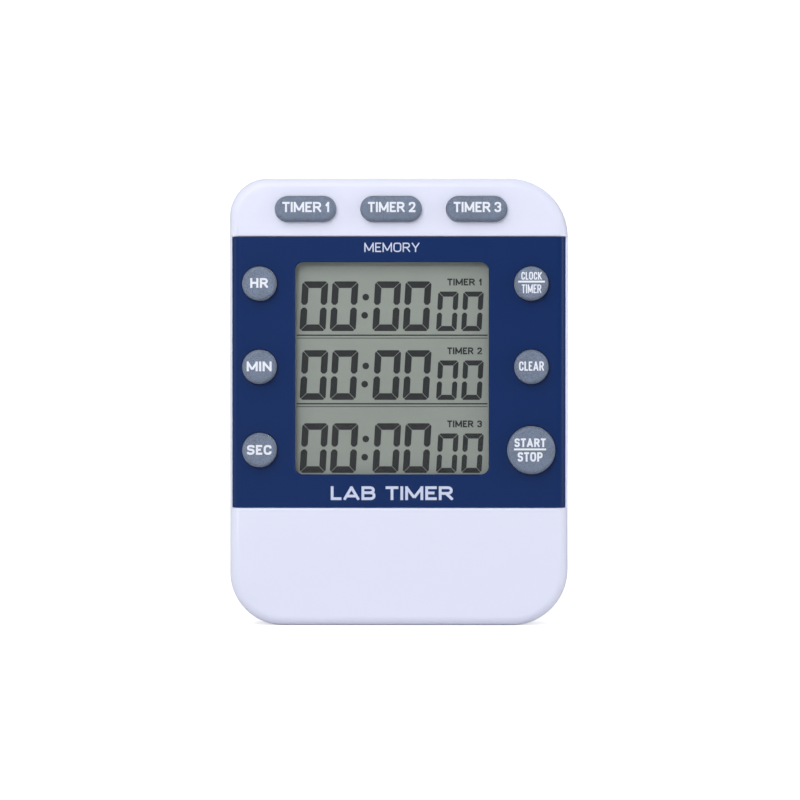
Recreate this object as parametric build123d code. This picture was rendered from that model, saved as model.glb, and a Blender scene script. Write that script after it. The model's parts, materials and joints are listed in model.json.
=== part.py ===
"""Three-line lab timer: a flat white case with a blue front panel, nine keys and a display,
a fold-out stand and a battery door on its back, and everything that works inside it.

Frame: +Z up, +X to the right of the person who reads the display, -Y towards that person.
The timer stands upright on its flat bottom edge. The origin is the centre of its footprint.
A depth is measured backwards from the front face: y = FACE_Y + depth. All sizes are in mm.
"""

import os

from build123d import *

# ---------------------------------------------------------------- case
WIDTH = 76.0
HEIGHT = 100.6
DEPTH = 19.0
BOTTOM_LEFT_R = 11.9
BOTTOM_RIGHT_R = 12.6
TOP_RIGHT_R = 13.2
TOP_LEFT_R = 8.6
FRONT_EDGE_R = 2.2
REAR_EDGE_R = 3.0
SIDE_WALL = 1.6
FACE_WALL = 2.2
BACK_WALL = 2.0
SEAM_DEPTH = 10.0          # where the front cover ends
SEAM_GAP = 0.3             # shadow line between the two covers
TONGUE_INSET = 0.9         # the rear cover's tongue, which locates the front cover
TONGUE_LENGTH = 1.2
FIT = 0.1                  # gap between neighbours that don't move
CAVITY_BACK = DEPTH - BACK_WALL

# ---------------------------------------------------------------- keys
KEY_PROUD = 2.0
KEY_TRAVEL = 1.0
KEY_GAP = 0.12             # between a key and the hole it moves in
KEY_EDGE_R = 0.9
KEY_SHOULDER = 0.55        # how far a key's retaining shoulder overlaps its hole
SHOULDER_THICKNESS = 1.0
PLUNGER_INSET = 1.3
CONTACT_THICKNESS = 0.5    # carbon pill under a key
ROUND_KEY = (7.65, 7.65)
START_KEY = (10.7, 10.7)
PILL_KEY = (13.6, 5.65)
LEFT_X = -31.3
RIGHT_X = 29.75
ROW_Z = 39.5
ROW_PITCH = 18.7
PILL_X = -1.75
PILL_PITCH = 19.2
PILL_Z = 93.65

# ---------------------------------------------------------------- front panel and display
PANEL_BOTTOM = 26.5
PANEL_TOP = 87.5
PANEL_SINK = 0.25          # panel face below the case face
PANEL_SEAT = 1.4           # depth of the recess it sits in
PANEL_GAP = 0.12
STEP_EDGE_R = 0.5          # rounded edge of the recess
LIP = 0.8                  # panel lip that lines the display opening
VIEW_X = -1.55
VIEW_WIDTH = 43.5
VIEW_BOTTOM = 34.0
VIEW_HEIGHT = 47.7
VIEW_CORNER_R = 1.8
VIEW_CHAMFER = 0.3         # bevel round the display opening
WINDOW_THICKNESS = 0.8
WINDOW_OVERLAP = 1.2
FILM = 0.2
GLASS = 0.7
GLASS_MARGIN = 1.0         # rear glass beyond the view
LEDGE = 3.0                # contact ledge of the front glass, above and below the rear glass
HOLDER_WALL = 1.2
HOLDER_FLOOR = 0.8
ZEBRA_THICKNESS = 1.8

# ---------------------------------------------------------------- board
BOARD_FRONT = 7.2
BOARD_THICKNESS = 1.2
BOARD_BOTTOM = 26.5
BOARD_INSET = 2.3
BOARD_BACK = BOARD_FRONT + BOARD_THICKNESS
PAD_THICKNESS = 0.05
POST_R = 1.6
POST_BORE_R = 0.75
BOARD_SCREW_R = 0.7
BOARD_HEAD_R = 1.4
BOARD_HEAD = 1.0
MAT_THICKNESS = 1.0
MAT_INSET = 2.1
MAT_BOTTOM = 27.0
MAT_MARGIN = 1.0           # between the mat and the display holder
DOME_HEIGHT = 1.4
DOME_WALL = 0.6
DOME_SPREAD = 1.3          # the wider skirt at a dome's foot
DOME_SKIRT = 0.4

# ---------------------------------------------------------------- case screws
BOSS_R = 2.6
REAR_BOSS_R = 3.2
BOSS_END = 12.0            # where the front and rear bosses meet
SCREW_R = 1.0
SCREW_HEAD_R = 2.1
SCREW_HEAD = 1.3
SCREW_SEAT = 14.6
SCREW_SLOT = 0.4
CASE_SCREWS = [(-31.5, 8.5), (31.5, 8.5), (31.0, 90.5), (-32.3, 91.5)]

# ---------------------------------------------------------------- battery bay and door
BAY_Z = 13.6
BAY_LENGTH = 52.0
BAY_HEIGHT = 11.2
BAY_WALL = 1.6
BAY_FLOOR = 6.0            # depth of the floor's inner face
CELL_LENGTH = 44.5         # AAA cell with its nub
CELL_R = 5.25
NUB_R = 1.9
NUB_LENGTH = 1.0
SLEEVE_THICKNESS = 0.15
SLEEVE_MARGIN = 0.6
CELL_DEPTH = 11.55
DOOR_SEAT = 1.2            # how far the door's rebate reaches over the bay's walls
DOOR_THICKNESS = 1.4
DOOR_SINK = 0.1
DOOR_GAP = 0.2
DOOR_RIB = 0.8             # stiffening rib inside the door, square
DOOR_PIN_R = 0.4
DOOR_PIN_LENGTH = 0.9
PIN_CLEARANCE = 0.06
CONTACT_PLATE = 0.3
CONTACT_SIZE = 9.0
TAIL_WIDTH = 2.0
TAIL_REACH = 2.9           # how far a contact's solder tail stands out of the bay
TAIL_DEPTH = 8.0
TAIL_Z = 17.4
SPRING_WIRE_R = 0.3
SPRING_BASE_R = 4.0
SPRING_TURNS = 3.5
SPRING_CONE = -14          # degrees

# ---------------------------------------------------------------- stand
STAND_WIDTH = 35.4
STAND_FOOT_Z = 27.0
STAND_AXIS_Z = 70.4
STAND_AXIS_DEPTH = 17.7
STAND_BARREL_R = 1.2
STAND_FACE_DEPTH = 16.8
STAND_THICKNESS = 2.0
STAND_GAP = 0.3
STAND_CORNER_R = 4.0
STAND_PIN_R = 0.8
STAND_PIN_LENGTH = 1.1
STAND_WELL_WALL = 1.4
STAND_GRIPS = 4
STAND_GRIP_PITCH = 1.6
STAND_GRIP_R = 0.4

# ---------------------------------------------------------------- finger scoops on the back
SCOOP_R = 2.6
SCOOP_RISE = 1.4           # the scoop's centre line stands this far behind the back
SCOOP_WIDTH = 12.0

# ---------------------------------------------------------------- magnets, buzzer and wires
MAGNET_R = 6.0
MAGNET_THICKNESS = 1.8
MAGNET_X = 23.0
MAGNET_Z = 83.0
MAGNET_PAD_R = 7.3
BUZZER_Z = 86.0
BUZZER_R = 10.0
CERAMIC_R = 7.0
BUZZER_RING_R = 10.5
BUZZER_RING_WALL = 1.3
BUZZER_RING_HEIGHT = 1.5
BUZZER_SHEET = 0.2
SOUND_HOLE_R = 0.9
SOUND_HOLES = 6
SOUND_CIRCLE_R = 3.8
WIRE_R = 0.45
WIRE_BEND_R = 1.5

# ---------------------------------------------------------------- derived places
FACE_Y = (KEY_PROUD - DEPTH) / 2
VIEW_Z = VIEW_BOTTOM + VIEW_HEIGHT / 2
WINDOW_BACK = FACE_WALL + WINDOW_THICKNESS
POLARISER_FRONT = WINDOW_BACK + FIT
FRONT_GLASS_FRONT = POLARISER_FRONT + FILM
REAR_GLASS_FRONT = FRONT_GLASS_FRONT + GLASS
REFLECTOR_FRONT = REAR_GLASS_FRONT + GLASS
GLASS_WIDTH = VIEW_WIDTH + 2 * GLASS_MARGIN
REAR_GLASS_HEIGHT = VIEW_HEIGHT + 2 * GLASS_MARGIN
FRONT_GLASS_HEIGHT = REAR_GLASS_HEIGHT + 2 * LEDGE
HOLDER_WIDTH = GLASS_WIDTH + 2 * (FIT + HOLDER_WALL)
HOLDER_HEIGHT = FRONT_GLASS_HEIGHT + 2 * (FIT + HOLDER_WALL)
ZEBRA_OFFSET = REAR_GLASS_HEIGHT / 2 + LEDGE / 2
MAT_FRONT = BOARD_FRONT - MAT_THICKNESS
CONTACT_BACK = BOARD_FRONT - 2 * PAD_THICKNESS - KEY_TRAVEL
CONTACT_FRONT = CONTACT_BACK - CONTACT_THICKNESS
WELL_FLOOR = STAND_AXIS_DEPTH - STAND_BARREL_R - FIT
WELL_TOP = STAND_AXIS_Z + STAND_BARREL_R + STAND_GAP
WELL_BOTTOM = STAND_FOOT_Z - STAND_GAP
BAY_END = BAY_LENGTH / 2
DOOR_FACE = DEPTH - DOOR_SINK
DOOR_AXIS_DEPTH = DOOR_FACE - DOOR_THICKNESS / 2
DOOR_HEIGHT = BAY_HEIGHT + 2 * DOOR_SEAT - 2 * DOOR_GAP
DOOR_LENGTH = BAY_LENGTH + 2 * DOOR_SEAT - 2 * DOOR_GAP
DOOR_AXIS_Z = BAY_Z - DOOR_HEIGHT / 2 + DOOR_THICKNESS / 2
BUZZER_BACK = CAVITY_BACK - BUZZER_RING_HEIGHT

# Each key: centre x, centre z, width and height.
KEYS = {
    "timer_1_button": (PILL_X - PILL_PITCH, PILL_Z, *PILL_KEY),
    "timer_2_button": (PILL_X, PILL_Z, *PILL_KEY),
    "timer_3_button": (PILL_X + PILL_PITCH, PILL_Z, *PILL_KEY),
    "hour_button": (LEFT_X, ROW_Z + 2 * ROW_PITCH, *ROUND_KEY),
    "minute_button": (LEFT_X, ROW_Z + ROW_PITCH, *ROUND_KEY),
    "second_button": (LEFT_X, ROW_Z, *ROUND_KEY),
    "clock_timer_button": (RIGHT_X, ROW_Z + 2 * ROW_PITCH, *ROUND_KEY),
    "clear_button": (RIGHT_X, ROW_Z + ROW_PITCH, *ROUND_KEY),
    "start_stop_button": (RIGHT_X, ROW_Z, *START_KEY),
}

# Board posts stand between the keys: below each row of the two columns, and between the pill keys.
BOARD_POSTS = [(x, z) for x in (LEFT_X, RIGHT_X) for z in (30.0, 49.9, 68.0)]
BOARD_POSTS += [(PILL_X - PILL_PITCH / 2, PILL_Z), (PILL_X + PILL_PITCH / 2, PILL_Z)]


# ---------------------------------------------------------------- drawing helpers
def prism(sketch, front, back, taper=0):
    """A sketch drawn as seen from the front, made solid from one depth to another."""
    return extrude(Plane.XZ.offset(-(FACE_Y + back)) * sketch, back - front, taper=taper)


def block(x_centre, z_centre, width, height, front, back):
    """A plain block between two depths."""
    return prism(Pos(x_centre, z_centre) * Rectangle(width, height), front, back)


def rod(x_centre, z_centre, radius, front, back):
    """A round rod that runs front to back."""
    return prism(Pos(x_centre, z_centre) * Circle(radius), front, back)


def cross_rod(x_from, x_to, z_centre, depth, radius):
    """A round rod that runs left to right."""
    middle = Pos((x_from + x_to) / 2, FACE_Y + depth, z_centre)
    return middle * Rot(0, 90, 0) * Cylinder(radius, abs(x_to - x_from))


def case_outline(inset=0.0):
    """The case seen from the front, moved in by inset. Its four corners differ."""
    side = WIDTH / 2 - inset
    corners = [(-side, inset), (side, inset), (side, HEIGHT - inset), (-side, HEIGHT - inset)]
    radii = [r - inset for r in (BOTTOM_LEFT_R, BOTTOM_RIGHT_R, TOP_RIGHT_R, TOP_LEFT_R)]
    return make_face(FilletPolyline(*corners, radius=radii, close=True))


def key_outline(key, grow=0.0):
    """A key's outline, made larger all round by grow: a circle, or a slot with round ends."""
    x, z, width, height = key
    if width == height:
        return Pos(x, z) * Circle(width / 2 + grow)
    return Pos(x, z) * SlotOverall(width + 2 * grow, height + 2 * grow)


def view_outline(grow, corner_r):
    """The display's visible window, made larger all round by grow."""
    return Pos(VIEW_X, VIEW_Z) * RectangleRounded(
        VIEW_WIDTH + 2 * grow, VIEW_HEIGHT + 2 * grow, corner_r
    )


def rounded_block(outline, front, back, edge_r, edge_depth):
    """An extruded outline with the edges at edge_depth rounded."""
    solid = prism(outline, front, back)
    edges = solid.edges().filter_by_position(
        Axis.Y, FACE_Y + edge_depth - FIT / 10, FACE_Y + edge_depth + FIT / 10
    )
    return fillet(edges, edge_r)


def screw(x, z, head_r, head, seat, shank_r, tip):
    """A pan-head screw put in from the back, with a cross recess."""
    solid = rod(x, z, head_r, seat, seat + head) + rod(x, z, shank_r, tip, seat)
    for width, height in ((head_r, SCREW_SLOT), (SCREW_SLOT, head_r)):
        solid -= block(x, z, width, height, seat + head / 2, seat + head)
    return solid


def wire(points):
    """A round insulated wire through points given as x, depth and z."""
    route = FilletPolyline(*[(x, FACE_Y + depth, z) for x, depth, z in points], radius=WIRE_BEND_R)
    return sweep(Plane(route @ 0, z_dir=route % 0) * Circle(WIRE_R), path=route)


# ---------------------------------------------------------------- case
def panel_recess():
    """The shallow band across the front that takes the blue panel, with rounded edges."""
    middle = (PANEL_BOTTOM + PANEL_TOP) / 2
    height = PANEL_TOP - PANEL_BOTTOM
    cutter = block(0, middle, WIDTH + 2, height, -1, PANEL_SEAT)
    for edge, outwards in ((PANEL_BOTTOM, -1), (PANEL_TOP, 1)):
        strip = block(0, edge, WIDTH + 2, 2 * STEP_EDGE_R, -1, STEP_EDGE_R)
        rim = cross_rod(-WIDTH, WIDTH, edge + outwards * STEP_EDGE_R, STEP_EDGE_R, STEP_EDGE_R)
        cutter += strip - rim
    return cutter


def front_cover():
    cover = rounded_block(case_outline(), 0, SEAM_DEPTH, FRONT_EDGE_R, 0)
    cover -= prism(case_outline(SIDE_WALL), FACE_WALL, SEAM_DEPTH)
    cover -= prism(case_outline(TONGUE_INSET - FIT), SEAM_DEPTH - TONGUE_LENGTH, SEAM_DEPTH)
    cover -= panel_recess()
    cover -= prism(view_outline(LIP, VIEW_CORNER_R + LIP), 0, FACE_WALL)
    cover += [rod(x, z, BOSS_R, FACE_WALL, BOSS_END) for x, z in CASE_SCREWS]
    cover -= [rod(x, z, SCREW_R + FIT / 2, FACE_WALL + BOSS_R, BOSS_END) for x, z in CASE_SCREWS]
    cover += [rod(x, z, POST_R, FACE_WALL, BOARD_FRONT) for x, z in BOARD_POSTS]
    cover -= [rod(x, z, POST_BORE_R, FACE_WALL + POST_R, BOARD_FRONT) for x, z in BOARD_POSTS]
    cover -= [prism(key_outline(key, KEY_GAP), 0, FACE_WALL) for key in KEYS.values()]
    return cover


def front_panel():
    """The panel follows the case's rounded sides, a little inside them."""
    shell = rounded_block(case_outline(PANEL_SINK), PANEL_SINK, SEAM_DEPTH, FRONT_EDGE_R, PANEL_SINK)
    middle = (PANEL_BOTTOM + PANEL_TOP) / 2
    height = PANEL_TOP - PANEL_BOTTOM - 2 * PANEL_GAP
    panel = shell & block(0, middle, WIDTH, height, 0, PANEL_SEAT)
    panel += prism(view_outline(LIP - FIT / 2, VIEW_CORNER_R + LIP), PANEL_SEAT, FACE_WALL)
    panel -= prism(view_outline(0, VIEW_CORNER_R), 0, FACE_WALL)
    panel -= [prism(key_outline(key, KEY_GAP), 0, FACE_WALL) for key in KEYS.values()]
    bevel_ends = (PANEL_SINK - VIEW_CHAMFER, PANEL_SINK + VIEW_CHAMFER)
    panel -= prism(view_outline(0, VIEW_CORNER_R), *bevel_ends, taper=-45)
    return panel


def stand_well():
    """Cutter for the recess that the folded stand lies in."""
    width = STAND_WIDTH + 2 * STAND_GAP
    return block(0, (WELL_TOP + WELL_BOTTOM) / 2, width, WELL_TOP - WELL_BOTTOM, WELL_FLOOR, DEPTH)


def stand_pins(radius, length):
    """The two hinge pins, which reach past the stand's sides by length."""
    side = STAND_WIDTH / 2
    ends = ((-side - length, -side), (side, side + length))
    return [cross_rod(a, b, STAND_AXIS_Z, STAND_AXIS_DEPTH, radius) for a, b in ends]


def door_pins(radius, length):
    """The two hinge pins, which reach past the door's ends by length."""
    end = DOOR_LENGTH / 2
    ends = ((-end - length, -end), (end, end + length))
    return [cross_rod(a, b, DOOR_AXIS_Z, DOOR_AXIS_DEPTH, radius) for a, b in ends]


def battery_bay():
    """The tub that stands on the rear cover's inside."""
    length = BAY_LENGTH + 2 * BAY_WALL
    height = BAY_HEIGHT + 2 * BAY_WALL
    return block(0, BAY_Z, length, height, BAY_FLOOR - BAY_WALL / 2, CAVITY_BACK)


def finger_scoop(z):
    """Cutter for the hollow that lets a fingertip under the edge of the stand or the door."""
    return cross_rod(-SCOOP_WIDTH / 2, SCOOP_WIDTH / 2, z, DEPTH + SCOOP_RISE, SCOOP_R)


def sound_holes():
    holes = [rod(0, BUZZER_Z, SOUND_HOLE_R, CAVITY_BACK, DEPTH)]
    for spot in PolarLocations(SOUND_CIRCLE_R, SOUND_HOLES):
        x, z, _ = spot.position
        holes.append(rod(x, BUZZER_Z + z, SOUND_HOLE_R, CAVITY_BACK, DEPTH))
    return holes


def magnet_discs(radius, front, back):
    """Two discs where the magnets are."""
    return [rod(side * MAGNET_X, MAGNET_Z, radius, front, back) for side in (-1, 1)]


def rear_cover():
    start = SEAM_DEPTH + SEAM_GAP
    cover = rounded_block(case_outline(), start, DEPTH, REAR_EDGE_R, DEPTH)
    tongue = case_outline(TONGUE_INSET)
    cover += prism(tongue, SEAM_DEPTH - TONGUE_LENGTH + FIT, start)
    cover -= prism(case_outline(SIDE_WALL), SEAM_DEPTH - TONGUE_LENGTH, CAVITY_BACK)

    well_width = STAND_WIDTH + 2 * (STAND_GAP + STAND_WELL_WALL)
    well_height = WELL_TOP - WELL_BOTTOM + 2 * STAND_WELL_WALL
    well_z = (WELL_TOP + WELL_BOTTOM) / 2
    cover += block(0, well_z, well_width, well_height, WELL_FLOOR - STAND_WELL_WALL, CAVITY_BACK)
    cover += battery_bay()
    cover += [rod(x, z, REAR_BOSS_R, BOSS_END + FIT, CAVITY_BACK) for x, z in CASE_SCREWS]
    cover += magnet_discs(MAGNET_PAD_R, CAVITY_BACK - STAND_WELL_WALL, CAVITY_BACK)
    ring = rod(0, BUZZER_Z, BUZZER_RING_R, BUZZER_BACK, CAVITY_BACK)
    cover += ring - rod(0, BUZZER_Z, BUZZER_RING_R - BUZZER_RING_WALL, BUZZER_BACK, CAVITY_BACK)

    cover -= stand_well()
    cover -= stand_pins(STAND_PIN_R + PIN_CLEARANCE, STAND_GAP + STAND_PIN_LENGTH)
    cover -= finger_scoop(WELL_BOTTOM)
    cover -= block(0, BAY_Z, BAY_LENGTH, BAY_HEIGHT, BAY_FLOOR, DEPTH)
    seat_length = BAY_LENGTH + 2 * DOOR_SEAT
    seat_height = BAY_HEIGHT + 2 * DOOR_SEAT
    cover -= block(0, BAY_Z, seat_length, seat_height, DOOR_FACE - DOOR_THICKNESS - FIT, DEPTH)
    cover -= door_pins(DOOR_PIN_R + PIN_CLEARANCE, DOOR_PIN_LENGTH + DOOR_GAP)
    cover -= finger_scoop(BAY_Z + seat_height / 2)
    slot_height = TAIL_WIDTH + 2 * FIT
    slot_back = TAIL_DEPTH + CONTACT_PLATE + FIT
    slot_length = BAY_LENGTH + 4 * BAY_WALL
    cover -= block(0, TAIL_Z, slot_length, slot_height, TAIL_DEPTH - FIT, slot_back)
    cover -= [rod(x, z, SCREW_R + FIT, BOSS_END, DEPTH) for x, z in CASE_SCREWS]
    cover -= [rod(x, z, SCREW_HEAD_R + 3 * FIT, SCREW_SEAT, DEPTH) for x, z in CASE_SCREWS]
    cover -= magnet_discs(MAGNET_R + FIT, DEPTH - MAGNET_THICKNESS - FIT, DEPTH)
    cover -= sound_holes()
    return cover


def case_screws():
    tip = FACE_WALL + 2 * BOSS_R
    return [screw(x, z, SCREW_HEAD_R, SCREW_HEAD, SCREW_SEAT, SCREW_R, tip) for x, z in CASE_SCREWS]


# ---------------------------------------------------------------- keys
def key_button(key):
    """Cap, retaining shoulder and plunger in one piece."""
    cap = rounded_block(key_outline(key), -KEY_PROUD, FACE_WALL + FIT, KEY_EDGE_R, -KEY_PROUD)
    shoulder_front = FACE_WALL + FIT
    shoulder_back = shoulder_front + SHOULDER_THICKNESS
    shoulder = prism(key_outline(key, KEY_GAP + KEY_SHOULDER), shoulder_front, shoulder_back)
    return cap + shoulder + prism(key_outline(key, -PLUNGER_INSET), shoulder_back, CONTACT_FRONT)


def key_contact(key):
    return prism(key_outline(key, -PLUNGER_INSET - FIT), CONTACT_FRONT, CONTACT_BACK)


def keypad_mat():
    """A silicone sheet on the board, open round the display, with a dome round each plunger."""
    mat = prism(case_outline(MAT_INSET), MAT_FRONT, BOARD_FRONT)
    mat &= block(0, MAT_BOTTOM + HEIGHT / 2, WIDTH, HEIGHT, 0, DEPTH)
    opening_top = VIEW_Z + HOLDER_HEIGHT / 2 + MAT_MARGIN
    mat -= block(VIEW_X, opening_top - HEIGHT / 2, HOLDER_WIDTH + 2 * MAT_MARGIN, HEIGHT, 0, DEPTH)
    for spread, height in ((DOME_SPREAD, DOME_SKIRT), (DOME_WALL, DOME_HEIGHT)):
        outlines = [key_outline(key, spread - PLUNGER_INSET) for key in KEYS.values()]
        mat += [prism(outline, MAT_FRONT - height, MAT_FRONT) for outline in outlines]
    mat -= [prism(key_outline(key, FIT - PLUNGER_INSET), 0, DEPTH) for key in KEYS.values()]
    mat -= [rod(x, z, POST_R + 4 * FIT, 0, DEPTH) for x, z in BOARD_POSTS]
    mat -= [rod(x, z, BOSS_R + 4 * FIT, 0, DEPTH) for x, z in CASE_SCREWS]
    return mat


# ---------------------------------------------------------------- display
def display_window():
    return prism(view_outline(WINDOW_OVERLAP, VIEW_CORNER_R), FACE_WALL, WINDOW_BACK)


def lcd_polariser():
    size = (GLASS_WIDTH, REAR_GLASS_HEIGHT)
    return block(VIEW_X, VIEW_Z, *size, POLARISER_FRONT, FRONT_GLASS_FRONT)


def lcd_front_glass():
    return block(VIEW_X, VIEW_Z, GLASS_WIDTH, FRONT_GLASS_HEIGHT, FRONT_GLASS_FRONT, REAR_GLASS_FRONT)


def lcd_rear_glass():
    return block(VIEW_X, VIEW_Z, GLASS_WIDTH, REAR_GLASS_HEIGHT, REAR_GLASS_FRONT, REFLECTOR_FRONT)


def lcd_reflector():
    return block(VIEW_X, VIEW_Z, GLASS_WIDTH, REAR_GLASS_HEIGHT, REFLECTOR_FRONT, REFLECTOR_FRONT + FILM)


def zebra_strip(side, grow=0.0):
    """An elastomer connector between a ledge of the front glass and the board."""
    centre = VIEW_Z + side * ZEBRA_OFFSET
    width = GLASS_WIDTH - GLASS_MARGIN + 2 * grow
    return block(VIEW_X, centre, width, ZEBRA_THICKNESS + 2 * grow, REAR_GLASS_FRONT, BOARD_FRONT)


def lcd_holder():
    """The frame that holds the glass and both connectors on the board."""
    glass_width = GLASS_WIDTH + 2 * FIT
    floor_front = REFLECTOR_FRONT + FILM + FIT
    holder = block(VIEW_X, VIEW_Z, HOLDER_WIDTH, HOLDER_HEIGHT, FRONT_GLASS_FRONT, BOARD_FRONT)
    front_pocket = FRONT_GLASS_HEIGHT + 2 * FIT
    holder -= block(VIEW_X, VIEW_Z, glass_width, front_pocket, FRONT_GLASS_FRONT, REAR_GLASS_FRONT)
    rear_pocket = REAR_GLASS_HEIGHT + 2 * FIT
    holder -= block(VIEW_X, VIEW_Z, glass_width, rear_pocket, REAR_GLASS_FRONT, floor_front)
    hollow = (GLASS_WIDTH - 2 * HOLDER_WALL, REAR_GLASS_HEIGHT - 2 * HOLDER_WALL)
    holder -= block(VIEW_X, VIEW_Z, *hollow, floor_front + HOLDER_FLOOR, BOARD_FRONT)
    return holder - [zebra_strip(side, FIT / 2) for side in (-1, 1)]


# ---------------------------------------------------------------- board
def main_board():
    board = prism(case_outline(BOARD_INSET), BOARD_FRONT, BOARD_BACK)
    board &= block(0, BOARD_BOTTOM + HEIGHT / 2, WIDTH, HEIGHT, 0, DEPTH)
    board -= [rod(x, z, BOSS_R + 4 * FIT, 0, DEPTH) for x, z in CASE_SCREWS]
    return board - [rod(x, z, BOARD_SCREW_R + FIT, 0, DEPTH) for x, z in BOARD_POSTS]


def key_contact_pads():
    """The printed contact pad on the board under each key."""
    front = BOARD_FRONT - PAD_THICKNESS
    return [prism(key_outline(key, -PLUNGER_INSET - FIT), front, BOARD_FRONT) for key in KEYS.values()]


def board_screws():
    tip = FACE_WALL + 2 * POST_R
    return [
        screw(x, z, BOARD_HEAD_R, BOARD_HEAD, BOARD_BACK, BOARD_SCREW_R, tip) for x, z in BOARD_POSTS
    ]


def chip_coating():
    """The epoxy drop over the controller chip."""
    drop_r = 7.0
    drop_height = 1.6
    edge_r = 1.3
    top = BOARD_BACK + drop_height
    return rounded_block(Pos(VIEW_X, VIEW_Z) * Circle(drop_r), BOARD_BACK, top, edge_r, top)


def crystal():
    """The watch crystal, a small can that lies on the board."""
    can_r = 1.0
    can_length = 6.0
    x, z = 10.0, 62.0
    return cross_rod(x, x + can_length, z, BOARD_BACK + can_r, can_r)


def capacitor():
    """A small electrolytic capacitor that lies on the board."""
    can_r = 2.0
    can_length = 7.0
    x, z = 8.0, 40.0
    return cross_rod(x, x + can_length, z, BOARD_BACK + can_r, can_r)


def surface_mount_parts():
    """Two columns of chip resistors and capacitors."""
    length, width, height = 2.0, 1.25, 0.6
    column_pitch, row_pitch = 5.0, 3.2
    columns, rows = 2, 6
    group_x, group_z = -17.0, 56.0
    parts = []
    for spot in GridLocations(column_pitch, row_pitch, columns, rows):
        x = group_x + spot.position.X
        z = group_z + spot.position.Y
        parts.append(block(x, z, length, width, BOARD_BACK, BOARD_BACK + height))
    return parts


# ---------------------------------------------------------------- buzzer, magnets
def buzzer_plate():
    return rod(0, BUZZER_Z, BUZZER_R, BUZZER_BACK - BUZZER_SHEET, BUZZER_BACK)


def buzzer_ceramic():
    return rod(0, BUZZER_Z, CERAMIC_R, BUZZER_BACK - 2 * BUZZER_SHEET, BUZZER_BACK - BUZZER_SHEET)


def buzzer_wire(x, sheets):
    """A wire from the buzzer, on top of one or two of its sheets, down to the board."""
    start = BUZZER_BACK - sheets * BUZZER_SHEET
    middle = (BUZZER_BACK + BOARD_BACK) / 2
    start_z = BUZZER_Z - BUZZER_R / 2
    end_z = start_z - BUZZER_R
    return wire([(x, start, start_z), (x, middle, start_z), (x, middle, end_z), (x, BOARD_BACK, end_z)])


def magnets():
    return magnet_discs(MAGNET_R, DEPTH - MAGNET_THICKNESS - FIT / 2, DEPTH - FIT / 2)


# ---------------------------------------------------------------- battery
def battery_cell():
    """The steel can lies with its nub towards +X."""
    nub_end = BAY_END - 2 * FIT - CONTACT_PLATE
    can_end = nub_end - NUB_LENGTH
    can = cross_rod(nub_end - CELL_LENGTH, can_end, BAY_Z, CELL_DEPTH, CELL_R - SLEEVE_THICKNESS)
    return can + cross_rod(can_end, nub_end, BAY_Z, CELL_DEPTH, NUB_R)


def battery_sleeve():
    end = BAY_END - 2 * FIT - CONTACT_PLATE - NUB_LENGTH - SLEEVE_MARGIN
    start = end - (CELL_LENGTH - NUB_LENGTH - 2 * SLEEVE_MARGIN)
    tube = cross_rod(start, end, BAY_Z, CELL_DEPTH, CELL_R)
    return tube - cross_rod(start, end, BAY_Z, CELL_DEPTH, CELL_R - SLEEVE_THICKNESS)


def battery_contact(side):
    """A flat contact against one end wall of the bay, with a solder tail through the wall."""
    plate_x = side * (BAY_END - FIT - CONTACT_PLATE / 2)
    front = CELL_DEPTH - CONTACT_SIZE / 2
    plate = block(plate_x, BAY_Z, CONTACT_PLATE, CONTACT_SIZE, front, front + CONTACT_SIZE)
    tail_start = BAY_END - FIT - CONTACT_PLATE
    tail_end = BAY_END + TAIL_REACH
    tail_x = side * (tail_start + tail_end) / 2
    tail_back = TAIL_DEPTH + CONTACT_PLATE
    return plate + block(tail_x, TAIL_Z, tail_end - tail_start, TAIL_WIDTH, TAIL_DEPTH, tail_back)


def battery_spring():
    """A conical coil from the negative contact to the flat end of the cell."""
    base_x = -BAY_END + FIT + CONTACT_PLATE + SPRING_WIRE_R
    tip_x = BAY_END - 2 * FIT - CONTACT_PLATE - CELL_LENGTH - SPRING_WIRE_R
    height = tip_x - base_x
    coil = Helix(
        height / SPRING_TURNS, height, SPRING_BASE_R,
        center=(base_x, FACE_Y + CELL_DEPTH, BAY_Z), direction=(1, 0, 0), cone_angle=SPRING_CONE,
    )
    return sweep(Plane(coil @ 0, z_dir=coil % 0) * Circle(SPRING_WIRE_R), path=coil, is_frenet=True)


def battery_wire(side):
    """A lead from a contact's solder tail up to the board."""
    x = side * (BAY_END + TAIL_REACH - WIRE_R)
    start = TAIL_DEPTH + CONTACT_PLATE
    out = start + 2 * WIRE_BEND_R
    end_z = BOARD_BOTTOM + 2
    return wire([(x, start, TAIL_Z), (x, out, TAIL_Z), (x, out, end_z), (x, BOARD_BACK, end_z)])


def battery_door():
    """The door turns on pins at its lower edge, which is rounded about their axis."""
    front = DOOR_FACE - DOOR_THICKNESS
    height = DOOR_HEIGHT - DOOR_THICKNESS / 2
    door = block(0, DOOR_AXIS_Z + height / 2, DOOR_LENGTH, height, front, DOOR_FACE)
    door += cross_rod(-DOOR_LENGTH / 2, DOOR_LENGTH / 2, DOOR_AXIS_Z, DOOR_AXIS_DEPTH, DOOR_THICKNESS / 2)
    rib_z = BAY_Z + BAY_HEIGHT / 2 - DOOR_RIB
    rib = block(0, rib_z, BAY_LENGTH / 2, DOOR_RIB, front - DOOR_RIB, front)
    return door + rib + door_pins(DOOR_PIN_R, DOOR_PIN_LENGTH)


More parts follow.
